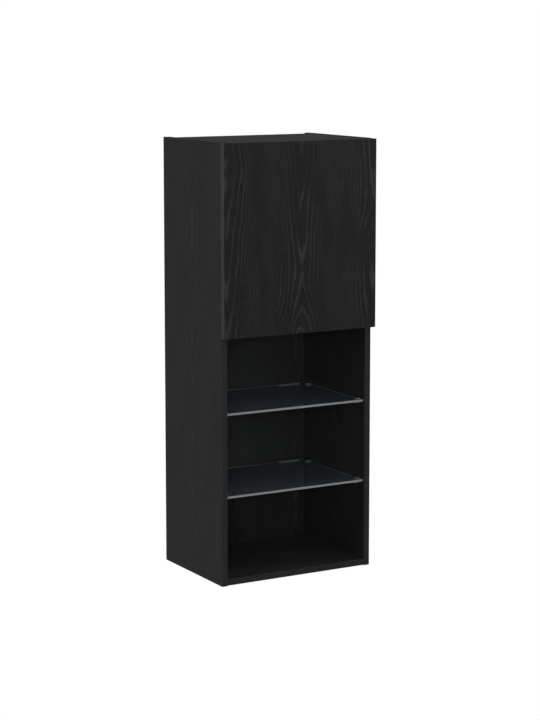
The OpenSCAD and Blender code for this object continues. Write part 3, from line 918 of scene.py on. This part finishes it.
class BuildLights(bpy.types.Operator):
    """The clip-on lights: a housing on the glass's rear edge, a soft grip inside it and a lens below"""

    bl_idname = "cabinet.build_lights"
    bl_label = "Clip-on Lights"

    def execute(self, context):
        ease = context.scene.cabinet_fittings.ease
        for level in LEVELS:
            rounded_copy(level + "_light_case", level + "_light_housing", "grey_plastic", 1.5 * ease)
            self.add_lens(level + "_light_lens")
            self.add_grip(level + "_light_grip", *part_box(level + "_glass_shelf"))
        return {"FINISHED"}

    def add_lens(self, node):
        """A thin strip whose lower face is slightly crowned, carried along X."""
        low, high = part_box(node)
        middle, half = (low.y + high.y) / 2, (high.y - low.y) / 2
        sag = 0.25 * MM
        across = np.linspace(-1, 1, 9)
        crown = np.stack([middle + half * across, low.z + sag * across ** 2], -1)
        top = np.array([(high.y, high.z), (low.y, high.z)])
        shell = carried(np.concatenate([crown, top]), low.x, high.x, SOFT_EASE, X)
        new_piece(node + "_strip", shell, node, "opal_lens")

    def add_grip(self, node, glass_low, glass_high):
        """A thin U round the glass's rear edge, carried along X."""
        low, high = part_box(node)
        corners = [
            (low.y, low.z), (high.y, low.z), (high.y, high.z), (low.y, high.z),
            (low.y, glass_high.z), (glass_high.y, glass_high.z),
            (glass_high.y, glass_low.z), (low.y, glass_low.z),
        ]
        radii = np.array([0.15, 0.4, 0.4, 0.15, 0.15, 0.1, 0.1, 0.15]) * MM
        shell = carried(rounded_outline(corners, radii, 3), low.x, high.x, SOFT_EASE, X)
        new_piece(node + "_lining", shell, node, "clear_soft_plastic")


# ---- Hinges ----


class BuildHinges(bpy.types.Operator):
    """The two hinges: cup, arm and mounting plate with rounded edges, pin, spring and screws"""

    bl_idname = "cabinet.build_hinges"
    bl_label = "Hinges"

    def execute(self, context):
        ease = context.scene.cabinet_fittings.ease
        for level in LEVELS:
            rounded_copy(level + "_hinge_cup_shell", level + "_hinge_cup", "nickel_steel", ease * 0.6)
            rounded_copy(level + "_hinge_arm_body", level + "_hinge_arm", "nickel_steel", ease * 1.5)
            rounded_copy(level + "_hinge_plate_body", level + "_hinge_plate", "nickel_steel", ease * 1.5)
            self.add_pin(level + "_hinge_pin")
            dress(level + "_hinge_spring", "nickel_steel")
        for screws in ("cup_screws", "plate_screws", "arm_screws"):
            dress(screws, "nickel_steel")
        return {"FINISHED"}

    def add_pin(self, node):
        """A pin with domed ends, turned about Z."""
        low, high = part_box(node)
        radius = (high.x - low.x) / 2
        crown = radius * 0.3
        dome = arc((0, 0), 1, 90, 0, 4) * (radius, crown)
        top = [(r, high.z - crown + h) for r, h in dome]
        bottom = [(r, low.z + crown - h) for r, h in dome[::-1]]
        centre = ((low.x + high.x) / 2, (low.y + high.y) / 2, 0)
        new_piece(node + "_rod", turned(top + bottom, centre, Z, 24), node, "nickel_steel")


# ---- Board fittings ----


class BuildFittings(bpy.types.Operator):
    """The cams, bolts and dowels in the boards, and the caps over the cams"""

    bl_idname = "cabinet.build_fittings"
    bl_label = "Board Fittings"

    def execute(self, context):
        dress("cam_discs", "cast_zinc")
        dress("cam_bolts", "nickel_steel")
        dress("wooden_dowels", "birch")
        rounded_copy("cam_cover_caps", "cam_caps", "black_plastic", 0.25 * MM)
        return {"FINISHED"}


# ---- Stage ----

FLOOR_HALF = 30.0


class BuildStage(bpy.types.Operator):
    """The camera, the pale floor and the soft light all round"""

    bl_idname = "cabinet.build_stage"
    bl_label = "Stage"

    def execute(self, context):
        studio = context.scene.cabinet_studio
        context.scene.view_settings.view_transform = "Standard"
        self.add_camera(context, studio)
        self.add_floor(context, studio)
        self.add_light(context, studio)
        self.add_lamp(context, "fill_lamp", studio.eye, studio.lamp, studio.lamp_size)
        self.add_lamp(context, "side_lamp", studio.side_place, studio.side_lamp, studio.lamp_size)
        return {"FINISHED"}

    def add_camera(self, context, studio):
        """A camera that faces the wall, turned to its right and dipped, with the picture dropped."""
        data = bpy.data.cameras.new("camera")
        data.sensor_width = 36
        data.lens = studio.lens
        data.shift_y = -studio.drop
        camera = bpy.data.objects.new("camera", data)
        camera.location = studio.eye
        camera.rotation_euler = Euler((math.pi / 2 - studio.dip, 0, -studio.turn))
        context.scene.collection.objects.link(camera)
        context.scene.camera = camera

    def add_floor(self, context, studio):
        """A wide flat sheet far enough below the cabinet that it is also seen from below, and bright
        enough to read as plain white."""
        height = CAD_BOUNDS[0][Z] - studio.floor_gap
        corners = np.array([(-1, -1), (1, -1), (1, 1), (-1, 1)]) * FLOOR_HALF
        mesh = bpy.data.meshes.new("floor")
        mesh.from_pydata(np.insert(corners, Z, height, axis=-1).tolist(), [], [(0, 1, 2, 3)])
        floor = bpy.data.objects.new("floor", mesh)
        context.scene.collection.objects.link(floor)
        material = bpy.data.materials.new("pale_floor")
        material.use_nodes = True
        nodes = Nodes(material.node_tree)
        glow = nodes.add("ShaderNodeEmission", None, {"Color": (1, 1, 1, 1), "Strength": 1.0})
        nodes.add("ShaderNodeOutputMaterial", None, {"Surface": glow})
        mesh.materials.append(material)
        floor.visible_shadow = False
        floor.visible_diffuse = False
        floor.visible_glossy = False

    def add_light(self, context, studio):
        """A soft dome: level + above * up + below * down + beside * left + ahead * front, each way only
        where it is positive. What the camera sees of it is plain white."""
        world = bpy.data.worlds.new("soft_dome")
        world.use_nodes = True
        nodes = Nodes(world.node_tree)
        axes = nodes.add("ShaderNodeSeparateXYZ", None, {0: nodes.add("ShaderNodeTexCoord")})
        up = nodes.maths("MAXIMUM", axes.out(Z), 0)
        left, front, down = (nodes.maths("MAXIMUM", 0 - axes.out(way), 0) for way in (X, Y, Z))
        glow = studio.level + up * studio.above + down * studio.below
        glow = glow + left * studio.beside + front * studio.ahead
        dome = nodes.add("ShaderNodeBackground", None, {"Strength": glow})
        plain = nodes.add("ShaderNodeBackground", None, {"Color": (1, 1, 1, 1), "Strength": 1.0})
        seen = nodes.add("ShaderNodeLightPath")
        both = nodes.add("ShaderNodeMixShader", None, {0: seen, 1: dome, 2: plain})
        nodes.add("ShaderNodeOutputWorld", None, {"Surface": both})
        context.scene.world = world

    def add_lamp(self, context, name, place, power, size):
        """A round soft lamp that faces the middle of the cabinet."""
        data = bpy.data.lights.new(name, "AREA")
        data.shape = "DISK"
        data.size = size
        data.energy = power
        lamp = bpy.data.objects.new(name, data)
        lamp.location = place
        middle = (Vector(CAD_BOUNDS[0]) + Vector(CAD_BOUNDS[1])) / 2
        lamp.rotation_euler = (middle - lamp.location).to_track_quat("-Z", "Y").to_euler()
        context.scene.collection.objects.link(lamp)


# ---- Add-on ----

BUILDERS = (
    BuildStage, BuildSides, BuildPanels, BuildBack, BuildDoor, BuildBumpers, BuildShelves, BuildClamps,
    BuildPads, BuildLights, BuildHinges, BuildFittings,
)
SETTINGS = {
    "cabinet_boards": CabinetBoards,
    "cabinet_glass": CabinetGlass,
    "cabinet_fittings": CabinetFittings,
    "cabinet_studio": CabinetStudio,
}


class CabinetPanel(bpy.types.Panel):
    """Lists the cabinet's settings and the operators that build it"""

    bl_idname = "VIEW3D_PT_cabinet"
    bl_label = "Hanging Wall Cabinet"
    bl_space_type = "VIEW_3D"
    bl_region_type = "UI"
    bl_category = "Cabinet"

    def draw(self, context):
        for key, group in SETTINGS.items():
            box = self.layout.box()
            for name in group.__annotations__:
                box.prop(getattr(context.scene, key), name)
        for builder in BUILDERS:
            self.layout.operator(builder.bl_idname)


def register():
    """Registers the settings, the operators and the panel."""
    for group in SETTINGS.values():
        bpy.utils.register_class(group)
    for builder in (*BUILDERS, CabinetPanel):
        bpy.utils.register_class(builder)
    for key, group in SETTINGS.items():
        setattr(bpy.types.Scene, key, PointerProperty(type=group))


def unregister():
    """Undoes register, in reverse."""
    for key in SETTINGS:
        delattr(bpy.types.Scene, key)
    for builder in (CabinetPanel, *reversed(BUILDERS)):
        bpy.utils.unregister_class(builder)
    for group in reversed(SETTINGS.values()):
        bpy.utils.unregister_class(group)


def main():
    """Builds the whole cabinet."""
    register()
    for builder in BUILDERS:
        group, name = builder.bl_idname.split(".")
        getattr(getattr(bpy.ops, group), name)()


if __name__ == "__main__":
    main()
